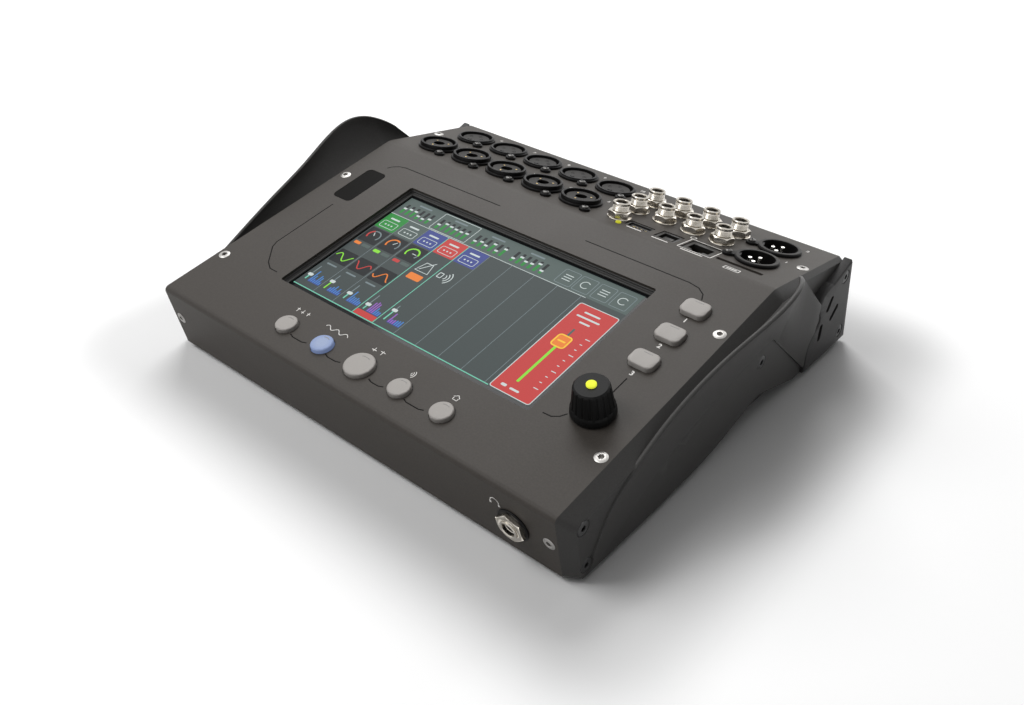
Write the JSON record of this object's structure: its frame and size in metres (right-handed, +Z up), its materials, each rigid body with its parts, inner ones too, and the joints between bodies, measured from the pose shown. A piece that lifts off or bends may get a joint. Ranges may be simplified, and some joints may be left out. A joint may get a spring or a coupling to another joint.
{
  "type": "digital audio mixing desk",
  "caption": "Compact digital mixing desk: sloping touch screen panel with buttons, keys and an encoder knob, rear socket panel, and moulded hand-grip cheeks.",
  "frame": {"origin": "on the desk surface under the four feet, midway across and midway front to back", "axes": "+X to the right as the operator faces the screen, +Y to the rear where the sockets are, +Z up"},
  "size_m": [0.2896, 0.2428, 0.0804],
  "materials": {
    "chassis_paint": "fine textured powder coat, warm grey",
    "tray_steel": "satin black paint",
    "cheek_plastic": "fine textured dark grey moulding",
    "bracket_metal": "textured black paint",
    "foot_rubber": "matt black",
    "bright_steel": "bright zinc plate",
    "black_steel": "black oxide",
    "gasket_rubber": "matt black foam",
    "screen_glass": "polished, over a lit display",
    "module_metal": "folded display frame",
    "button_plastic": "light grey, frosted",
    "lit_button": "frosted, lit pale blue",
    "knob_plastic": "soft-touch black",
    "dot_plastic": "bright yellow-green",
    "part_plastic": "black moulding",
    "board_green": "green glass-fibre board",
    "standoff_brass": "nickel-free brass",
    "pin_metal": "silver plated contacts",
    "nut_chrome": "bright nickel plate",
    "socket_plastic": "black moulding",
    "port_steel": "tinned steel shell",
    "light_lens": "translucent, lit yellow-green",
    "antenna_plastic": "flush dark grey panel"
  },
  "bodies": {
    "desk": {"antenna_window": "antenna_plastic", "base_tray": "tray_steel", "black_screws": "black_steel", "board_standoffs": "standoff_brass", "card_slot": "port_steel", "combo_socket_1": "socket_plastic", "combo_socket_2": "socket_plastic", "combo_socket_3": "socket_plastic", "combo_socket_4": "socket_plastic", "combo_socket_5": "socket_plastic", "connector_screws": "black_steel", "control_board": "board_green", "dc_inlet": "socket_plastic", "display_clamps": "bright_steel", "display_gasket": "gasket_rubber", "display_glass": "screen_glass", "display_module": "module_metal", "encoder_body": "part_plastic", "encoder_nut": "bright_steel", "front_line_jack": "nut_chrome", "headphone_bezel": "socket_plastic", "headphone_jack": "nut_chrome", "io_board": "board_green", "jack_nuts": "nut_chrome", "key_switches": "part_plastic", "left_cheek": "cheek_plastic", "left_rear_bracket": "bracket_metal", "main_board": "board_green", "main_output_1": "socket_plastic", "main_output_2": "socket_plastic", "mic_socket_1": "socket_plastic", "mic_socket_2": "socket_plastic", "mic_socket_3": "socket_plastic", "mic_socket_4": "socket_plastic", "mic_socket_5": "socket_plastic", "middle_line_jacks": "nut_chrome", "network_port": "port_steel", "output_pins": "pin_metal", "power_switch": "socket_plastic", "rear_line_jacks": "nut_chrome", "right_cheek": "cheek_plastic", "right_rear_bracket": "bracket_metal", "rubber_feet": "foot_rubber", "silver_screws": "bright_steel", "status_light": "light_lens", "top_chassis": "chassis_paint", "usb_device_port": "port_steel", "usb_host_port": "port_steel"},
    "button_1": {"round_button_1": "button_plastic"},
    "button_2": {"round_button_2": "lit_button"},
    "button_3": {"round_button_3": "button_plastic"},
    "button_4": {"round_button_4": "button_plastic"},
    "button_5": {"round_button_5": "button_plastic"},
    "key_1": {"soft_key_1": "button_plastic"},
    "key_2": {"soft_key_2": "button_plastic"},
    "key_3": {"soft_key_3": "button_plastic"},
    "encoder": {"encoder_knob": "knob_plastic", "knob_dot": "dot_plastic", "encoder_shaft": "bright_steel"},
    "power": {"power_button": "knob_plastic"}
  },
  "joints": [
    {"name": "button_1_press", "type": "slide", "parent": "desk", "child": "button_1", "axis": [0, 0.1736, -0.9848], "range_m": [0, 0.0008], "stiffness_N_per_m": 1200, "springref_m": -0.0004},
    {"name": "button_2_press", "type": "slide", "parent": "desk", "child": "button_2", "axis": [0, 0.1736, -0.9848], "range_m": [0, 0.0008], "stiffness_N_per_m": 1200, "springref_m": -0.0004},
    {"name": "button_3_press", "type": "slide", "parent": "desk", "child": "button_3", "axis": [0, 0.1736, -0.9848], "range_m": [0, 0.0008], "stiffness_N_per_m": 1200, "springref_m": -0.0004},
    {"name": "button_4_press", "type": "slide", "parent": "desk", "child": "button_4", "axis": [0, 0.1736, -0.9848], "range_m": [0, 0.0008], "stiffness_N_per_m": 1200, "springref_m": -0.0004},
    {"name": "button_5_press", "type": "slide", "parent": "desk", "child": "button_5", "axis": [0, 0.1736, -0.9848], "range_m": [0, 0.0008], "stiffness_N_per_m": 1200, "springref_m": -0.0004},
    {"name": "key_1_press", "type": "slide", "parent": "desk", "child": "key_1", "axis": [0, 0.1736, -0.9848], "range_m": [0, 0.0008], "stiffness_N_per_m": 1200, "springref_m": -0.0004},
    {"name": "key_2_press", "type": "slide", "parent": "desk", "child": "key_2", "axis": [0, 0.1736, -0.9848], "range_m": [0, 0.0008], "stiffness_N_per_m": 1200, "springref_m": -0.0004},
    {"name": "key_3_press", "type": "slide", "parent": "desk", "child": "key_3", "axis": [0, 0.1736, -0.9848], "range_m": [0, 0.0008], "stiffness_N_per_m": 1200, "springref_m": -0.0004},
    {"name": "encoder_turn", "type": "hinge", "parent": "desk", "child": "encoder", "pos_m": [0.1045, -0.06839, 0.04823], "axis": [0, -0.1736, 0.9848], "continuous": true},
    {"name": "power_press", "type": "slide", "parent": "desk", "child": "power", "axis": [0, -0.9759, -0.218], "range_m": [0, 0.0015], "stiffness_N_per_m": 800, "springref_m": -0.0005}
  ]
}
